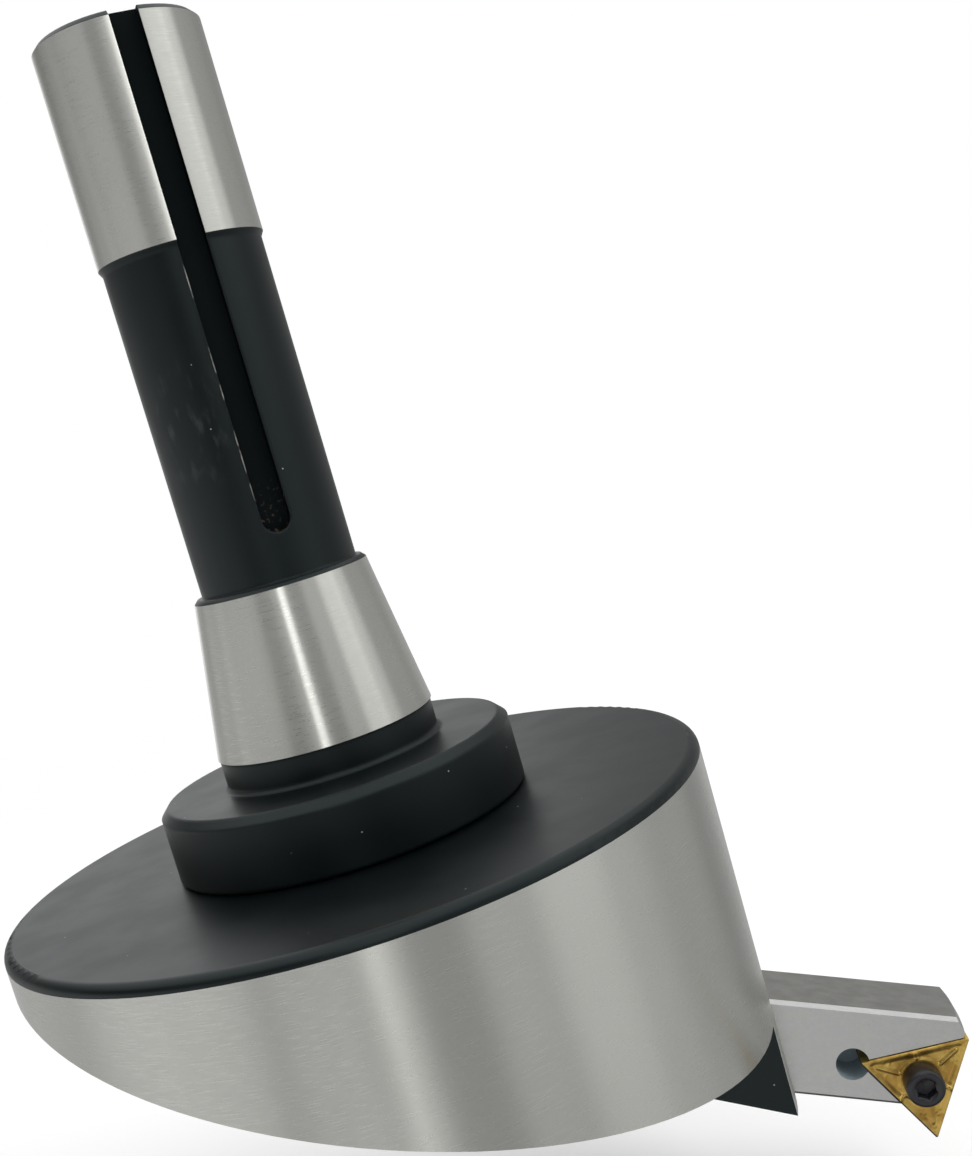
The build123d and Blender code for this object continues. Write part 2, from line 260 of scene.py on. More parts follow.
def sector(tree, flat, middle, half, soft):
    """1 inside a soft-edged sector of the horizon, in degrees."""
    towards = (cos(radians(middle)), sin(radians(middle)), 0)
    share = add(tree, "VectorMath", {0: flat, 1: towards}, operation="DOT_PRODUCT").outputs["Value"]
    return ramp(tree, share, cos(radians(half + soft)), cos(radians(max(half - soft, 0))))


def mix_values(tree, factor, a, b):
    return add(tree, "Mix", {"Factor": factor, "A": a, "B": b}, data_type="FLOAT").outputs[0]


def by_height(tree, wall, top, levels):
    """One value out of three: for the floor, for the walls and for above them."""
    low, middle, high = levels
    return mix_values(tree, top, mix_values(tree, wall, low, middle), high)


def card_finish():
    finish = bpy.data.materials.new("grey_cards")
    finish.use_nodes = True
    finish.cycles.emission_sampling = "NONE"
    tree = finish.node_tree
    tree.nodes.clear()
    place = add(tree, "TexCoord").outputs["Object"]
    flat = add(tree, "VectorMath", {0: place, 1: (1, 1, 0)}, operation="MULTIPLY").outputs[0]
    flat = add(tree, "VectorMath", {0: flat}, operation="NORMALIZE").outputs[0]
    height = math(tree, "DIVIDE", add(tree, "SeparateXYZ", {0: place}).outputs["Z"], CARD_RADIUS)
    wall = ramp(tree, height, *FLOOR_TO_WALL)
    top = ramp(tree, height, *WALL_TO_TOP)
    level = by_height(tree, wall, top, PLAIN_CARD)
    for middle, half, soft, changes in SECTORS.values():
        inside = sector(tree, flat, middle, half, soft)
        level = math(tree, "MULTIPLY_ADD", inside, by_height(tree, wall, top, changes), level)
    level = mix_values(tree, ramp(tree, height, *OWN_SHADOW_EDGE), OWN_SHADOW, level)
    level = mix_values(tree, ramp(tree, height, *CEILING_EDGE), level, CEILING_LEVEL)
    shine = add(tree, "Emission", {"Color": grey(1), "Strength": level})
    add(tree, "OutputMaterial", {"Surface": shine.outputs[0]})
    return finish


def stage_mesh(name, shape, finish):
    """Turns a bmesh into a stage object."""
    mesh = bpy.data.meshes.new(name)
    shape.to_mesh(mesh)
    shape.free()
    mesh.materials.append(finish)
    made = bpy.data.objects.new(name, mesh)
    scene.collection.objects.link(made)
    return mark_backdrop(made) or made


shape = bmesh.new()
bmesh.ops.create_uvsphere(shape, u_segments=96, v_segments=48, radius=CARD_RADIUS)
cards = stage_mesh("grey_cards", shape, card_finish())
cards.visible_camera = False
cards.visible_diffuse = False
cards.visible_transmission = False
cards.visible_volume_scatter = False
cards.visible_shadow = False
print("sectors of the cards:", ", ".join(SECTORS))

# %% [markdown]
# One large soft lamp at the window's side gives the floor its shadow. The floor is a wide pale disc a
# little below the tool, as the cutter hangs in a spindle and can't stand by itself. What its lit
# colour lacks to white is added for the camera alone, and towards its rim it is plain white, so no
# horizon shows. Mirror rays pass it by, because the cards already hold the floor that metal sees.

# %% Lamp and floor
LAMP_PLACE = (0.75, -0.35, 0.80)
LAMP_SIZE = 0.6
LAMP_POWER = 4.0
FLOOR_GAP = 12 * MM
FLOOR_RADIUS = 6.0
FLOOR_FADE = (0.30, 0.80)
FLOOR_COLOUR = 0.93
FLOOR_LIFT = 0.12

lamp = bpy.data.lights.new("window_lamp", "AREA")
lamp.shape = "DISK"
lamp.size = LAMP_SIZE
lamp.energy = LAMP_POWER
window_lamp = bpy.data.objects.new("window_lamp", lamp)
window_lamp.location = LAMP_PLACE
window_lamp.rotation_euler = (-Vector(LAMP_PLACE)).to_track_quat("-Z", "Y").to_euler()
window_lamp.visible_glossy = False
scene.collection.objects.link(window_lamp)


def floor_finish():
    finish = bpy.data.materials.new("pale_floor")
    finish.use_nodes = True
    tree = finish.node_tree
    tree.nodes.clear()
    place = add(tree, "TexCoord").outputs["Object"]
    flat = add(tree, "VectorMath", {0: place, 1: (1, 1, 0)}, operation="MULTIPLY").outputs[0]
    away = add(tree, "VectorMath", {0: flat}, operation="LENGTH").outputs["Value"]
    far = ramp(tree, away, *FLOOR_FADE)
    rays = add(tree, "LightPath").outputs
    seen = math(tree, "MAXIMUM", rays["Is Camera Ray"], rays["Is Glossy Ray"])
    seen = math(tree, "MAXIMUM", seen, rays["Is Transmission Ray"])
    lift = add(tree, "Emission", {"Color": grey(1), "Strength": math(tree, "MULTIPLY", seen, FLOOR_LIFT)})
    pale = add(tree, "BsdfDiffuse", {"Color": grey(FLOOR_COLOUR)})
    near = add(tree, "AddShader", {0: pale.outputs[0], 1: lift.outputs[0]})
    white = add(tree, "Emission", {"Color": grey(1), "Strength": 1.0})
    surface = add(tree, "MixShader", {0: far, 1: near.outputs[0], 2: white.outputs[0]})
    add(tree, "OutputMaterial", {"Surface": surface.outputs[0]})
    finish.cycles.emission_sampling = "NONE"
    return finish


shape = bmesh.new()
bmesh.ops.create_circle(shape, cap_ends=True, segments=128, radius=FLOOR_RADIUS)
bmesh.ops.translate(shape, verts=shape.verts, vec=(0, 0, lowest - FLOOR_GAP))
floor = stage_mesh("floor", shape, floor_finish())
floor.visible_glossy = False
print("floor", round((lowest - FLOOR_GAP) / MM, 1), "mm from the gauge line")

# %% [markdown]
# ## Finishes
# The cutter has two finishes on one piece of steel: black oxide all over, and bright metal where it
# was ground after blackening. The two are one material, with a mask that reads where a point lies:
# its distance from the axis and its height. A grinding wheel leaves fine lines round the axis. A noise
# that is squeezed along Z and slow along X and Y gives them without a seam at any angle.

# %% Ground and blackened steel
def new_finish(name):
    finish = bpy.data.materials.new(name)
    finish.use_nodes = True
    finish.node_tree.nodes.clear()
    return finish, finish.node_tree


def noise(tree, place, scale, detail=3.0, roughness=0.5):
    """Noise that reads place, stretched by a scale for each axis."""
    stretched = add(tree, "VectorMath", {0: place, 1: scale}, operation="MULTIPLY").outputs[0]
    inputs = {"Vector": stretched, "Scale": 1.0, "Detail": detail, "Roughness": roughness}
    return add(tree, "TexNoise", inputs).outputs[0]


def round_place(tree):
    """A point's own coordinates, its distance from the axis and its height."""
    place = add(tree, "TexCoord").outputs["Object"]
    flat = add(tree, "VectorMath", {0: place, 1: (1, 1, 0)}, operation="MULTIPLY").outputs[0]
    out = add(tree, "VectorMath", {0: flat}, operation="LENGTH").outputs["Value"]
    up = add(tree, "SeparateXYZ", {0: place}).outputs["Z"]
    return place, out, up


def between(tree, value, low, high, soft=0.05 * MM):
    """1 between two values, 0 outside them."""
    above = ramp(tree, value, low - soft, low + soft)
    below = ramp(tree, value, high - soft, high + soft, 1.0, 0.0)
    return math(tree, "MULTIPLY", above, below)


def ground_steel(tree, place):
    """Bright steel, ground round the axis."""
    lines = noise(tree, place, (420, 420, 8000), 2.0)
    cloud = noise(tree, place, (90, 90, 60), 2.0)
    colour = blend_colours(tree, cloud, (0.60, 0.605, 0.565, 1), (0.64, 0.645, 0.605, 1))
    rough = ramp(tree, lines, 0.3, 0.7, 0.27, 0.33)
    bump = add(tree, "Bump", {"Strength": 0.16, "Distance": 0.01 * MM, "Height": lines})
    tangent = add(tree, "Tangent", direction_type="RADIAL", axis="Z")
    return add(tree, "BsdfPrincipled", {
        "Base Color": colour,
        "Metallic": 1.0,
        "Roughness": rough,
        "Anisotropic": 1.0,
        "Anisotropic Rotation": 0.25,
        "Tangent": tangent.outputs[0],
        "Normal": bump.outputs[0],
    })


def scattered(tree, place, scale, share, size):
    """Small round spots at random places, on a share of the cells."""
    cells = add(tree, "TexVoronoi", {"Vector": place, "Scale": scale})
    spot = ramp(tree, cells.outputs["Distance"], size / 2, size, 1.0, 0.0)
    chance = add(tree, "SeparateColor", {0: cells.outputs["Color"]}).outputs[0]
    return math(tree, "MULTIPLY", spot, ramp(tree, chance, 1 - share, 1.01 - share))


def black_oxide(tree, place, smudge_and_highlight=0.0, round_edge=0.0):
    """Blackened steel: a thin blue-black oxide with a satin shine, dust specks, smudges and painted
    highlights.
    """
    cloud = noise(tree, place, (120, 120, 120), 4.0)
    grain = noise(tree, place, (3500, 3500, 3500), 2.0)
    dark = blend_colours(tree, cloud, (0.0004, 0.0014, 0.0020, 1), (0.0014, 0.0028, 0.0034, 1))
    colour = blend_colours(tree, scattered(tree, place, 420, 0.20, 0.06), dark, (0.30, 0.31, 0.31, 1))
    # Lighter where smudges are, and lighter where a highlight is painted in
    colour = blend_colours(tree, smudge_and_highlight, colour, (0.30, 0.29, 0.27, 1))
    rough = ramp(tree, cloud, 0.3, 0.7, 0.36, 0.41)
    bump = add(tree, "Bump", {"Strength": 0.15, "Distance": 0.01 * MM, "Height": grain})
    if round_edge:
        soft = add(tree, "Bevel", {"Radius": round_edge}, samples=6)
        tree.links.new(soft.outputs[0], bump.inputs["Normal"])
    return add(tree, "BsdfPrincipled", {
        "Base Color": colour,
        "Roughness": rough,
        "Specular IOR Level": 0.36,
        "Specular Tint": (0.82, 0.98, 1.0, 1),
        "Normal": bump.outputs[0],
    })


# %% [markdown]
# The arbor is ground on the pilot and on the taper. The keyway was milled before the blackening, so it
# is black inside. A point in it is told by its place: within the keyway's width, outside its floor and
# deeper than the shank's surface. Along the keyway's left edge a thin bright line is painted into the
# black as a painted highlight, and old grease has turned brown at its round lower end. The edges of the
# flange are rounded in the shader, which costs nothing in the mesh and catches the light as a turned edge
# does.

# %% Arbor finish
SKIN = 0.06 * MM
KEYWAY_HALF = 2.03 * MM
KEYWAY_FLOOR = 9.55 * MM
KEYWAY_LOW = 26.9 * MM
SHANK_RADIUS = 11.6 * MM
KEYWAY_GREASE = 8 * MM
FLANGE_ROUND = 0.7 * MM
SMUDGE_AT = (-3.5 * MM, -11 * MM, 44 * MM)
SMUDGE_REACH = (3 * MM, 11 * MM)
HIGHLIGHT_LINE_WIDTH = 0.14 * MM
HIGHLIGHT_LINE_LOW = 33 * MM
GREASE_BLACK = (0.0008, 0.0012, 0.0014, 1)
GREASE_BROWN = (0.090, 0.062, 0.036, 1)


def arbor_steel():
    finish, tree = new_finish("arbor_steel_finish")
    place, out, up = round_place(tree)
    on_pilot = math(tree, "MULTIPLY", between(tree, up, pilot_low, pilot_high),
                    math(tree, "GREATER_THAN", out, pilot_radius - SKIN))
    cone = math(tree, "MULTIPLY_ADD", up, -TAPER_SLOPE, GAUGE_RADIUS - SKIN)
    on_taper = math(tree, "MULTIPLY", between(tree, up, TAPER_LOW, TAPER_HIGH),
                    math(tree, "GREATER_THAN", out, cone))
    ground = math(tree, "MAXIMUM", on_pilot, on_taper)
    facing = (cos(keyway_angle), sin(keyway_angle), 0)
    across = (-sin(keyway_angle), cos(keyway_angle), 0)
    front = add(tree, "VectorMath", {0: place, 1: facing}, operation="DOT_PRODUCT").outputs["Value"]
    beside = add(tree, "VectorMath", {0: place, 1: across}, operation="DOT_PRODUCT").outputs["Value"]
    deep = math(tree, "LESS_THAN", out, SHANK_RADIUS - SKIN)
    in_keyway = math(tree, "MULTIPLY", math(tree, "GREATER_THAN", up, KEYWAY_LOW - SKIN), deep)
    in_keyway = math(tree, "MULTIPLY", in_keyway, math(tree, "GREATER_THAN", front, KEYWAY_FLOOR - SKIN))
    in_width = between(tree, beside, -KEYWAY_HALF - SKIN, KEYWAY_HALF + SKIN)
    in_keyway = math(tree, "MULTIPLY", in_keyway, in_width)
    # Painted highlight: a thin bright line along the keyway's left edge, broken by a noise
    edge = between(tree, beside, -KEYWAY_HALF - HIGHLIGHT_LINE_WIDTH, -KEYWAY_HALF + SKIN, 0.03 * MM)
    edge = math(tree, "MULTIPLY", edge, between(tree, up, HIGHLIGHT_LINE_LOW, pilot_low, 5 * MM))
    edge = math(tree, "MULTIPLY", edge, math(tree, "GREATER_THAN", front, 0.0))
    broken = ramp(tree, noise(tree, place, (900, 900, 350), 3.0), 0.46, 0.62)
    edge = math(tree, "MULTIPLY", edge, broken)
    from_smudge = add(tree, "VectorMath", {0: place, 1: SMUDGE_AT}, operation="DISTANCE").outputs["Value"]
    smudge = ramp(tree, from_smudge, *SMUDGE_REACH, 0.07, 0.0)
    patches = ramp(tree, noise(tree, place, (600, 600, 260), 4.0), 0.5, 0.72)
    smudge = math(tree, "MULTIPLY", smudge, patches)
    bright = ground_steel(tree, place)
    black = black_oxide(tree, place, math(tree, "ADD", edge, smudge), FLANGE_ROUND)
    grease = noise(tree, place, (1400, 1400, 1400), 4.0)
    low_end = ramp(tree, up, KEYWAY_LOW + KEYWAY_GREASE / 2, KEYWAY_LOW + KEYWAY_GREASE, 1.0, 0.0)
    brown = blend_colours(tree, ramp(tree, grease, 0.55, 0.75), GREASE_BLACK, GREASE_BROWN)
    grimy = blend_colours(tree, low_end, (0.0010, 0.0014, 0.0016, 1), brown)
    rough_bump = add(tree, "Bump", {"Strength": 0.5, "Distance": 0.04 * MM, "Height": grease})
    inside = add(tree, "BsdfPrincipled", {
        "Base Color": grimy,
        "Roughness": 0.62,
        "Specular IOR Level": 0.16,
        "Specular Tint": (0.70, 0.95, 1.0, 1),
        "Normal": rough_bump.outputs[0],
    })
    dark = add(tree, "MixShader", {0: in_keyway, 1: black.outputs[0], 2: inside.outputs[0]})
    surface = add(tree, "MixShader", {0: ground, 1: dark.outputs[0], 2: bright.outputs[0]})
    add(tree, "OutputMaterial", {"Surface": surface.outputs[0]})
    return finish


def body_steel():
    finish, tree = new_finish("body_steel_finish")
    place, out, up = round_place(tree)
    side = math(tree, "GREATER_THAN", out, body_radius - SKIN)
    ground = math(tree, "MULTIPLY", side, math(tree, "LESS_THAN", up, body_top - BODY_EDGE))
    bright = ground_steel(tree, place)
    black = black_oxide(tree, place)
    surface = add(tree, "MixShader", {0: ground, 1: black.outputs[0], 2: bright.outputs[0]})
    add(tree, "OutputMaterial", {"Surface": surface.outputs[0]})
    return finish


def give(node, finish):
    """Puts a finish on a CAD node in place of its plain colour."""
    materials = frame["nodes"][node].data.materials
    materials.clear()
    materials.append(finish)


give("arbor", arbor_steel())
give("cutter_body", body_steel())

# %% [markdown]
# The tool bar is plain steel, ground flat and a little stained by handling: soft blue-grey blotches over
# fine lines along its length. The relief hole in the pocket's corner is painted dark blue-grey inside,
# a painted shade. Its mask has no end behind the hole's floor, so the same painted shade also colours a
# disc on the bar's back face, which is a known fault.

# %% Bar finish
screw_low, screw_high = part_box("insert_screw")
INSERT_AT = ((screw_low.x + screw_high.x) / 2, (screw_low.z + screw_high.z) / 2)
RELIEF_HOLE_LEFT = 9.249 * MM
RELIEF_HOLE_ABOVE = 4.763 * MM
RELIEF_HOLE_AT = (INSERT_AT[0] - RELIEF_HOLE_LEFT, INSERT_AT[1] + RELIEF_HOLE_ABOVE)
RELIEF_HOLE_RADIUS = 2.5 * MM
BAR_FACE = 0.0
BAR_UP = (sin(BAR_SLOPE), 0, cos(BAR_SLOPE))
BAR_DARK = (0.49, 0.495, 0.49, 1)
BAR_PALE = (0.57, 0.57, 0.55, 1)
BAR_STAIN = (0.40, 0.405, 0.41, 1)
BAR_TOP_PAINTED_SHADE = (0.42, 0.415, 0.395, 1)
HOLE_PAINTED_SHADE = (0.25, 0.31, 0.34, 1)


def bar_steel():
    finish, tree = new_finish("bar_steel_finish")
    place = add(tree, "TexCoord").outputs["Object"]
    turned = add(tree, "Mapping", {"Vector": place, "Rotation": (0, -BAR_SLOPE, 0)}).outputs[0]
    lines = noise(tree, turned, (250, 5000, 5000), 2.0)
    blotch = noise(tree, turned, (420, 600, 600), 5.0, 0.6)
    fine = noise(tree, turned, (1500, 2200, 2200), 3.0)
    colour = blend_colours(tree, ramp(tree, blotch, 0.35, 0.65), BAR_DARK, BAR_PALE)
    colour = blend_colours(tree, ramp(tree, fine, 0.55, 0.75, 0.0, 0.30), colour, BAR_STAIN)
    # Painted shade: faces that point up along the bar's top are coloured darker
    facing = add(tree, "NewGeometry").outputs["Normal"]
    faces_up = add(tree, "VectorMath", {0: facing, 1: BAR_UP}, operation="DOT_PRODUCT")
    top_shade = ramp(tree, faces_up.outputs["Value"], 0.90, 0.97)
    colour = blend_colours(tree, top_shade, colour, BAR_TOP_PAINTED_SHADE)
    rough = ramp(tree, blotch, 0.3, 0.7, 0.30, 0.42)
    bump = add(tree, "Bump", {"Strength": 0.25, "Distance": 0.01 * MM, "Height": lines})
    bright = add(tree, "BsdfPrincipled", {
        "Base Color": colour,
        "Metallic": 1.0,
        "Roughness": rough,
        "Normal": bump.outputs[0],
    })
    # Painted shade inside the relief hole: a dark blue-grey in place of the bar's steel
    flat = add(tree, "VectorMath", {0: place, 1: (1, 0, 1)}, operation="MULTIPLY").outputs[0]
    hole_at = (RELIEF_HOLE_AT[0], 0, RELIEF_HOLE_AT[1])
    off_hole = add(tree, "VectorMath", {0: flat, 1: hole_at}, operation="DISTANCE").outputs["Value"]
    back = add(tree, "SeparateXYZ", {0: place}).outputs["Y"]
    in_hole = math(tree, "MULTIPLY", math(tree, "LESS_THAN", off_hole, RELIEF_HOLE_RADIUS + SKIN),
                   math(tree, "GREATER_THAN", back, BAR_FACE + SKIN))
    shaded = add(tree, "BsdfPrincipled", {"Base Color": HOLE_PAINTED_SHADE, "Roughness": 0.6})
    surface = add(tree, "MixShader", {0: in_hole, 1: bright.outputs[0], 2: shaded.outputs[0]})
    add(tree, "OutputMaterial", {"Surface": surface.outputs[0]})
    return finish


def plain_metal(name, colour, rough, metallic=1.0):
    finish, tree = new_finish(name)
    place = add(tree, "TexCoord").outputs["Object"]
    grain = noise(tree, place, (2500, 2500, 2500), 3.0)
    bump = add(tree, "Bump", {"Strength": 0.2, "Distance": 0.01 * MM, "Height": grain})
    surface = add(tree, "BsdfPrincipled", {
        "Base Color": (*colour, 1),
        "Metallic": metallic,
        "Roughness": rough,
        "Normal": bump.outputs[0],
    })
    add(tree, "OutputMaterial", {"Surface": surface.outputs[0]})
    return finish


give("tool_bar", bar_steel())
screw_black = plain_metal("screw_black", (0.012, 0.012, 0.015), 0.36, 0.0)

# %% [markdown]
# ## The insert
# An insert is pressed from powder and sintered, so its face is one flowing relief: a narrow land along
# the cutting edges, a groove behind it, a raised seat round the hole, a rib from each corner towards
# the hole and a few ripples that curl the chip. It is made as a height field. The outline is a
# triangle with small round corners, and rings of points lead from it inwards to the hole, on both
# faces. Each point's height comes from its distance to the edges, to the hole and to the corners. The
# back face lies flat in the pocket, so nothing on it rises past the seat round the hole.
# Sculpting it by hand could look the same, but wouldn't follow a change of the values in this cell.

# %% The insert's relief
INSERT_INNER = 9.525 * MM / 2
INSERT_THICK = 4.76 * MM
INSERT_PROUD = 0.3 * MM
INSERT_HOLE = 3.81 * MM / 2
NOSE = 0.2 * MM
HONE = 0.10 * MM
SEAT_RADIUS = 3.15 * MM
TURNS = 360
RINGS = 56
EDGE_ANGLES = [radians(angle) for angle in (90, 210, 330)]
# Ripples round each corner: how far from it, half their width and their height, in millimetres
RIPPLES = ((2.5, 0.25, 0.05), (3.4, 0.28, 0.06), (4.3, 0.30, 0.05))
# Heights of the relief's other forms, in millimetres
GROOVE = -0.22
RIB_FOOT = 0.06
RIB_CREST = 0.15
CORNER_BUMP = 0.09
SIDE_BUMP = 0.05
HOLE_MOUTH = 0.30 * MM


def smooth(value, low, high):
    share = min(max((value - low) / (high - low), 0.0), 1.0)
    return share * share * (3 - 2 * share)


def hump(value, middle, half):
    return max(0.0, 1 - ((value - middle) / half) ** 2) ** 2


def outline_at(angle):
    """Distance from the middle to the rounded triangle's edge, in one direction."""
    inner = INSERT_INNER - NOSE
    reach = min(inner / max(cos(angle - edge), 1e-6) for edge in EDGE_ANGLES if cos(angle - edge) > 1e-6)
    corner_angle = min((edge + pi / 3 for edge in EDGE_ANGLES), key=lambda a: abs(sin((angle - a) / 2)))
    away = Vector((cos(corner_angle), sin(corner_angle))) * 2 * inner
    ray = Vector((cos(angle), sin(angle)))
    along = ray.dot(away)
    left = NOSE ** 2 - (away.length_squared - along ** 2)
    edge_normal = max(EDGE_ANGLES, key=lambda edge: cos(angle - edge))
    straight = INSERT_INNER / cos(angle - edge_normal)
    point = ray * straight
    tangent = Vector((-sin(edge_normal), cos(edge_normal)))
    if left > 0 and abs(point.dot(tangent)) > inner * tan(pi / 3):
        return along + left ** 0.5
    return straight


def relief(x, z, inset):
    """Height of the pressed face over the seat round the hole, below zero in the groove."""
    out = hypot(x, z)
    edge = INSERT_INNER - max(x * cos(a) + z * sin(a) for a in EDGE_ANGLES)
    height = GROOVE * smooth(edge, 0.24 * MM, 1.15 * MM)
    height += (0.0 - height) * (1 - smooth(out, SEAT_RADIUS, SEAT_RADIUS + 0.55 * MM))
    for a in EDGE_ANGLES:
        corner = Vector((cos(a + pi / 3), sin(a + pi / 3)))
        along = 2 * INSERT_INNER - (x * corner.x + z * corner.y)
        aside = -x * corner.y + z * corner.x
        reaches = smooth(along, 2.0 * MM, 2.7 * MM) * smooth(out, SEAT_RADIUS, SEAT_RADIUS + 0.5 * MM)
        rib = RIB_FOOT * hump(aside, 0.0, 0.90 * MM) + RIB_CREST * hump(aside, 0.0, 0.42 * MM)
        height += rib * reaches
        height += CORNER_BUMP * hump(hypot(along - 1.5 * MM, aside), 0.0, 0.5 * MM)
        for reach, half, level in RIPPLES:
            curl = hump(hypot(along + 0.6 * MM, aside * 0.9), (reach + 0.6) * MM, half * MM)
            clear = smooth(abs(aside), 0.5 * MM, 0.9 * MM)
            height += level * curl * clear * smooth(edge, 0.5 * MM, 0.9 * MM)
        from_side = hypot(x - 4.0 * MM * cos(a), z - 4.0 * MM * sin(a))
        height += SIDE_BUMP * hump(from_side, 0.35 * MM, 0.55 * MM)
    return height * MM * smooth(inset, 0.0, 0.12 * MM)


def make_insert(finish):
    """Rings of points from the outline to the hole on both faces, then the hole's wall and the sides."""
    front = -INSERT_PROUD
    rings = []
    for side, base, into in ((1, front, -1), (-1, front + INSERT_THICK, 1)):
        face = []
        for ring in range(RINGS + 1):
            share = ring / RINGS
            row = []
            for turn in range(TURNS):
                angle = 2 * pi * turn / TURNS
                outer = outline_at(angle) - HONE
                inner = INSERT_HOLE + HOLE_MOUTH
                reach = outer + (inner - outer) * share
                x, z = reach * cos(angle), reach * sin(angle)
                height = relief(x, z, outer - reach)
                if side < 0:
                    height = min(height, 0.0)
                row.append((x, base + into * height, z))
            face.append(row)
        hole, rim = [], []
        for turn in range(TURNS):
            angle = 2 * pi * turn / TURNS
            hole.append((INSERT_HOLE * cos(angle), base - into * HOLE_MOUTH, INSERT_HOLE * sin(angle)))
            rim.append((outline_at(angle) * cos(angle), base - into * HONE, outline_at(angle) * sin(angle)))
        rings.append([rim] + face + [hole])
    loop = rings[0] + rings[1][::-1]
    points = [(INSERT_AT[0] + x, y, INSERT_AT[1] + z) for row in loop for x, y, z in row]
    faces = []
    rows = len(loop)
    for row in range(rows):
        for turn in range(TURNS):
            a = row * TURNS + turn
            b = row * TURNS + (turn + 1) % TURNS
            c = (row + 1) % rows * TURNS + (turn + 1) % TURNS
            d = (row + 1) % rows * TURNS + turn
            faces.append((a, b, c, d))
    return ring_mesh("insert_relief", points, faces, finish)


def ring_mesh(name, points, faces, finish):
    """A smooth closed mesh from points and faces, its normals turned outwards."""
    mesh = bpy.data.meshes.new(name)
    mesh.from_pydata(points, [], faces)
    shape = bmesh.new()
    shape.from_mesh(mesh)
    bmesh.ops.recalc_face_normals(shape, faces=shape.faces)
    shape.to_mesh(mesh)
    shape.free()
    mesh.shade_smooth()
    mesh.set_sharp_from_angle(angle=radians(38))
    mesh.materials.append(finish)
    made = bpy.data.objects.new(name, mesh)
    scene.collection.objects.link(made)
    return made


def stand_in(made, node, body):
    """Shows a piece in place of its CAD node, on the same body."""
    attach(made, body)
    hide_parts(node)


GOLD_DARK = (0.42, 0.25, 0.060, 1)
GOLD_PALE = (0.66, 0.45, 0.12, 1)
PAINTED_SHADE_BLACK = (0.010, 0.009, 0.008, 1)


def insert_gold():
    """A gold hard coating, darker and browner in patches, with painted shade in black along the lower left
    edge.
    """
    finish, tree = new_finish("insert_gold")
    place = add(tree, "TexCoord").outputs["Object"]
    patch = noise(tree, place, (330, 330, 330), 4.0, 0.6)
    fine = noise(tree, place, (1800, 1800, 1800), 3.0)
    colour = blend_colours(tree, ramp(tree, patch, 0.38, 0.62), GOLD_DARK, GOLD_PALE)
    x, z = INSERT_AT
    # Painted shade: a narrow band along the lower left edge is black and less metallic
    beyond = (cos(radians(210)), 0, sin(radians(210)))
    off = add(tree, "VectorMath", {0: place, 1: (x, 0, z)}, operation="SUBTRACT").outputs[0]
    edge = add(tree, "VectorMath", {0: off, 1: beyond}, operation="DOT_PRODUCT").outputs["Value"]
    shaded_edge = ramp(tree, edge, INSERT_INNER - 0.28 * MM, INSERT_INNER - 0.20 * MM)
    colour = blend_colours(tree, shaded_edge, colour, PAINTED_SHADE_BLACK)
    bump = add(tree, "Bump", {"Strength": 0.3, "Distance": 0.02 * MM, "Height": fine})
    shine = math(tree, "MULTIPLY_ADD", shaded_edge, -0.9, 1.0)
    surface = add(tree, "BsdfPrincipled", {
        "Base Color": colour,
        "Metallic": shine,
        "Roughness": ramp(tree, patch, 0.3, 0.7, 0.30, 0.40),
        "Normal": bump.outputs[0],
    })
    add(tree, "OutputMaterial", {"Surface": surface.outputs[0]})
    return finish


insert = make_insert(insert_gold())
stand_in(insert, "insert", "insert")
print("insert:", len(insert.data.polygons), "faces")

# %% [markdown]
# ## The screws
# A screw is a turned piece with a socket and a thread. The turned part is a list of radii and heights,
# spun round the screw's axis. The socket uses the same rings: their points lie on a hexagon instead of
# a circle. The head's outer edge is rounded by a few short steps, and a small chamfer leads into the
# socket, which shows as a lighter ring.

# %% Turned screws
SPUN = 96


def hexagon(angle, half_width):
    """Distance from the middle of a hexagon to its outline, in one direction."""
    return half_width / cos((angle + pi / 6) % (pi / 3) - pi / 6)


def turned(name, centre, profile, finish):
    """Spins (radius or hexagon half width, depth along +Y, is hexagon) rows round a screw's axis."""
    x, z = centre
    points = []
    for size, y, is_hexagon in profile:
        for turn in range(SPUN):
            angle = 2 * pi * turn / SPUN
            reach = hexagon(angle, size) if is_hexagon else size
            points.append((x + reach * cos(angle), y, z + reach * sin(angle)))
    rows = len(profile)
    faces = []
    for row in range(rows - 1):
        for turn in range(SPUN):
            after = (turn + 1) % SPUN
            here, there = row * SPUN, (row + 1) * SPUN
            faces.append((here + turn, here + after, there + after, there + turn))
    faces.append(tuple(range(SPUN)))
    faces.append(tuple(range((rows - 1) * SPUN, rows * SPUN)))
    return ring_mesh(name, points, faces, finish)


def rounded(radius, corner, y, steps=5):
    """A round outer edge of a head whose top is at y."""
    rows = []
    for i in range(steps + 1):
        angle = pi / 2 * i / steps
        rows.append((radius - corner + corner * sin(angle), y + corner * (1 - cos(angle)), False))
    return rows


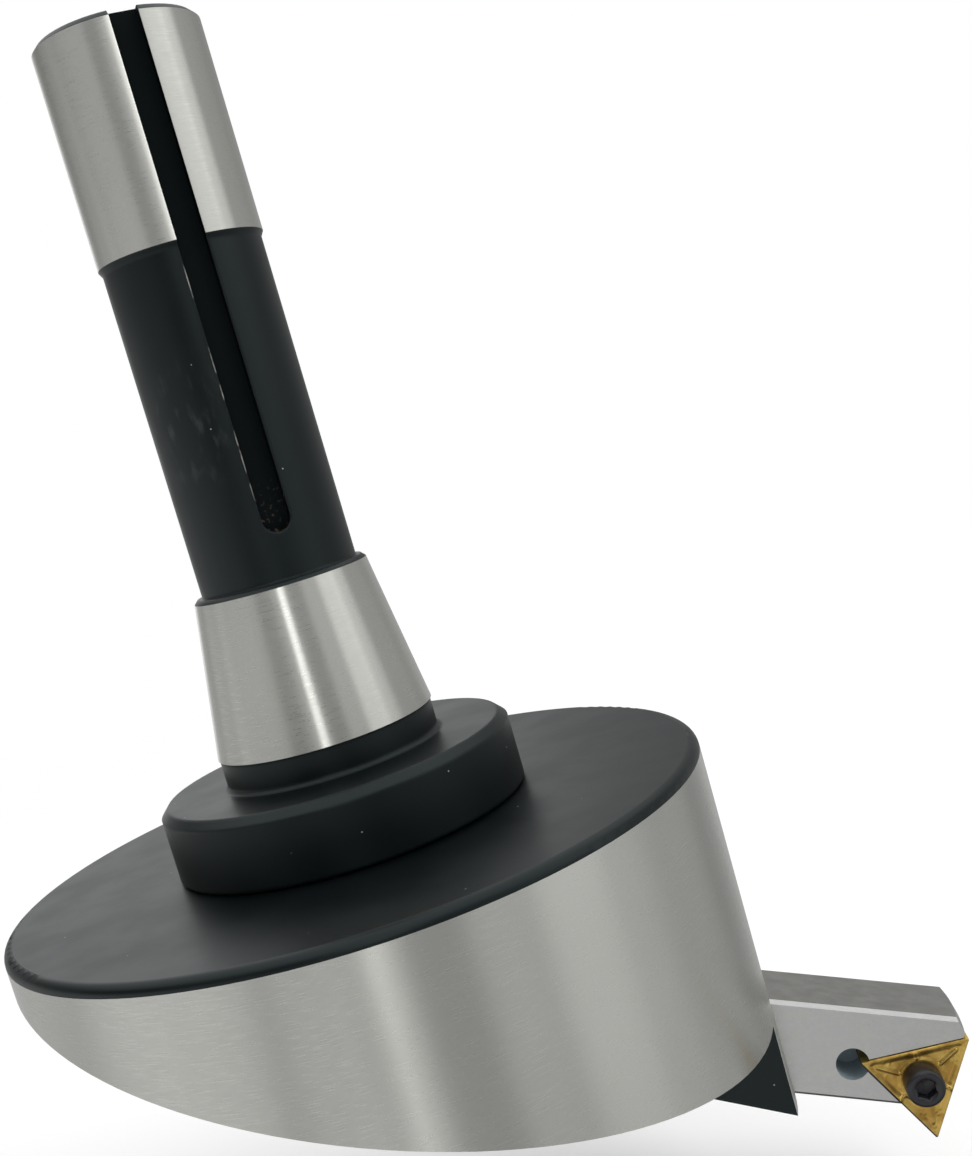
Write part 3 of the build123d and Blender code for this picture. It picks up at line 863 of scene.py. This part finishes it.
CAP_RADIUS = 2.87 * MM
CAP_HEIGHT = 3.1 * MM
CAP_ROUND = 0.55 * MM
CAP_SOCKET = 1.39 * MM
CAP_DEPTH = 1.75 * MM
CAP_MOUTH = 1.72 * MM
CAP_CORE = 1.36 * MM
CAP_END = 9.2 * MM
CAP_SHANK = 1.70 * MM
CAP_SHANK_LENGTH = 3.4 * MM
CAP_THREAD_RADIUS = 1.72 * MM
CAP_FOOT_EDGE = 0.12 * MM
seat = -INSERT_PROUD
top = seat - CAP_HEIGHT
cap_profile = [
    (0.15 * MM, top + CAP_DEPTH + 0.35 * MM, False),
    (CAP_SOCKET, top + CAP_DEPTH, True),
    (CAP_SOCKET, top + 0.30 * MM, True),
    (CAP_MOUTH, top + 0.06 * MM, False),
    (CAP_MOUTH + 0.1 * MM, top, False),
    *rounded(CAP_RADIUS, CAP_ROUND, top),
    (CAP_RADIUS, seat - CAP_FOOT_EDGE, False),
    (CAP_RADIUS - CAP_FOOT_EDGE, seat, False),
    (CAP_SHANK, seat, False),
    (CAP_SHANK, seat + CAP_SHANK_LENGTH, False),
    (CAP_CORE, seat + 3.7 * MM, False),
    (CAP_CORE, CAP_END - 0.3 * MM, False),
    (CAP_CORE - 0.3 * MM, CAP_END, False),
]
cap_screw = turned("cap_screw", INSERT_AT, cap_profile, screw_black)
stand_in(cap_screw, "insert_screw", "insert_screw")
print("cap screw:", round((CAP_END - top) / MM, 2), "mm long")

# %% [markdown]
# A thread is one ridge that winds round the core, so it suits Geometry Nodes: a spiral curve, and a
# small four-sided profile carried along it. The same tree makes the thread of every screw from its
# radius, length, number of turns and ridge. Its result becomes a plain mesh that is joined to the turned part.
# Modelling the ridge as a texture would leave the outline of the screw smooth. The spiral winds
# clockwise as it rises, so these threads are left-hand, and real screws of this kind are right-hand.

# %% Thread tree
def add_step(tree, kind, inputs=None, **options):
    """Makes a Geometry Nodes node and fills its inputs."""
    return add_node(tree, "GeometryNode" + kind, inputs, options)


def thread_tree():
    tree = bpy.data.node_groups.new("thread", "GeometryNodeTree")
    tree.is_modifier = True
    tree.interface.new_socket("Geometry", in_out="OUTPUT", socket_type="NodeSocketGeometry")
    tree.interface.new_socket("Geometry", in_out="INPUT", socket_type="NodeSocketGeometry")
    for name in ("Radius", "Length", "Turns", "Ridge"):
        tree.interface.new_socket(name, in_out="INPUT", socket_type="NodeSocketFloat")
    tree.interface.new_socket("Finish", in_out="INPUT", socket_type="NodeSocketMaterial")
    given = tree.nodes.new("NodeGroupInput").outputs
    spiral = add_step(tree, "CurveSpiral", {
        "Resolution": 48,
        "Rotations": given["Turns"],
        "Start Radius": given["Radius"],
        "End Radius": given["Radius"],
        "Height": given["Length"],
    })
    upright = add_step(tree, "SetCurveNormal", {"Curve": spiral.outputs[0]}, mode="Z_UP")
    around = {"Resolution": 4, "Radius": given["Ridge"]}
    profile = add_step(tree, "CurvePrimitiveCircle", around, mode="RADIUS")
    ridge = add_step(tree, "CurveToMesh", {
        "Curve": upright.outputs[0],
        "Profile Curve": profile.outputs[0],
        "Fill Caps": True,
    })
    real = add_step(tree, "RealizeInstances", {0: ridge.outputs[0]})
    painted = add_step(tree, "SetMaterial", {"Geometry": real.outputs[0], "Material": given["Finish"]})
    tree.links.new(painted.outputs[0], tree.nodes.new("NodeGroupOutput").inputs[0])
    return tree


threads = thread_tree()


def thread_mesh(radius, pitch, length, ridge, finish):
    """The ridge of a thread about Z, from height 0, as a plain mesh. It comes out left-hand."""
    carrier = bpy.data.objects.new("thread", bpy.data.meshes.new("thread"))
    scene.collection.objects.link(carrier)
    modifier = carrier.modifiers.new("thread", "NODES")
    modifier.node_group = threads
    values = {
        "Radius": radius - ridge,
        "Length": length,
        "Turns": length / pitch,
        "Ridge": ridge,
        "Finish": finish,
    }
    for item in threads.interface.items_tree:
        if item.in_out == "INPUT" and item.name in values:
            modifier[item.identifier] = values[item.name]
    seen = carrier.evaluated_get(bpy.context.evaluated_depsgraph_get())
    mesh = bpy.data.meshes.new_from_object(seen)
    bpy.data.objects.remove(carrier)
    return mesh


def wind(screw, centre, start, length, radius, pitch, ridge):
    """Adds a thread to a turned screw, along +Y from a start depth."""
    finish = screw.data.materials[0]
    ridge_mesh = thread_mesh(radius, pitch, length, ridge, finish)
    into = Matrix.Translation((centre[0], start, centre[1])) @ Matrix.Rotation(radians(-90), 4, "X")
    ridge_mesh.transform(into)
    shape = bmesh.new()
    shape.from_mesh(screw.data)
    shape.from_mesh(ridge_mesh)
    shape.to_mesh(screw.data)
    shape.free()
    print(screw.name, "thread:", round(length / pitch, 1), "turns,", len(ridge_mesh.polygons), "faces")


# %% [markdown]
# The three set screws that clamp the bar sit in the front wall of the body, under its front half, where
# the photograph doesn't show them. Their number, their quarter-inch size and their cup points are
# guessed, and so are the threads: 28 turns to the inch on them and 32 on the cap screw.

# %% Set screws and threads
CAP_PITCH = 25.4 / 32 * MM
CAP_RIDGE = 0.34 * MM
SET_PITCH = 25.4 / 28 * MM
SET_RIDGE = 0.40 * MM
SET_CORE = 2.78 * MM
SET_SOCKET = 1.5875 * MM
SET_SOCKET_DEPTH = 3.0 * MM
SET_CUP = 1.65 * MM
SET_CUP_DEPTH = 0.8 * MM
SET_THREAD_RADIUS = 3.15 * MM

cap_thread = CAP_END - seat - 5.0 * MM
wind(cap_screw, INSERT_AT, seat + 4.2 * MM, cap_thread, CAP_THREAD_RADIUS, CAP_PITCH, CAP_RIDGE)
for place in ("inner", "middle", "outer"):
    node = "bar_screw_" + place
    low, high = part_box(node)
    centre = ((low.x + high.x) / 2, (low.z + high.z) / 2)
    length = high.y - low.y
    profile = [
        (0.2 * MM, low.y + SET_SOCKET_DEPTH + 0.4 * MM, False),
        (SET_SOCKET, low.y + SET_SOCKET_DEPTH, True),
        (SET_SOCKET, low.y + 0.2 * MM, True),
        (1.95 * MM, low.y, False),
        (SET_CORE - 0.25 * MM, low.y, False),
        (SET_CORE, low.y + 0.25 * MM, False),
        (SET_CORE, high.y - 1.25 * MM, False),
        (SET_CUP, high.y, False),
        (SET_CUP - 0.12 * MM, high.y, False),
        (0.15 * MM, high.y - SET_CUP_DEPTH, False),
    ]
    screw = turned("set_screw_" + place, centre, profile, screw_black)
    wind(screw, centre, low.y + 0.6 * MM, length - 2.2 * MM, SET_THREAD_RADIUS, SET_PITCH, SET_RIDGE)
    stand_in(screw, node, "screw_" + place)
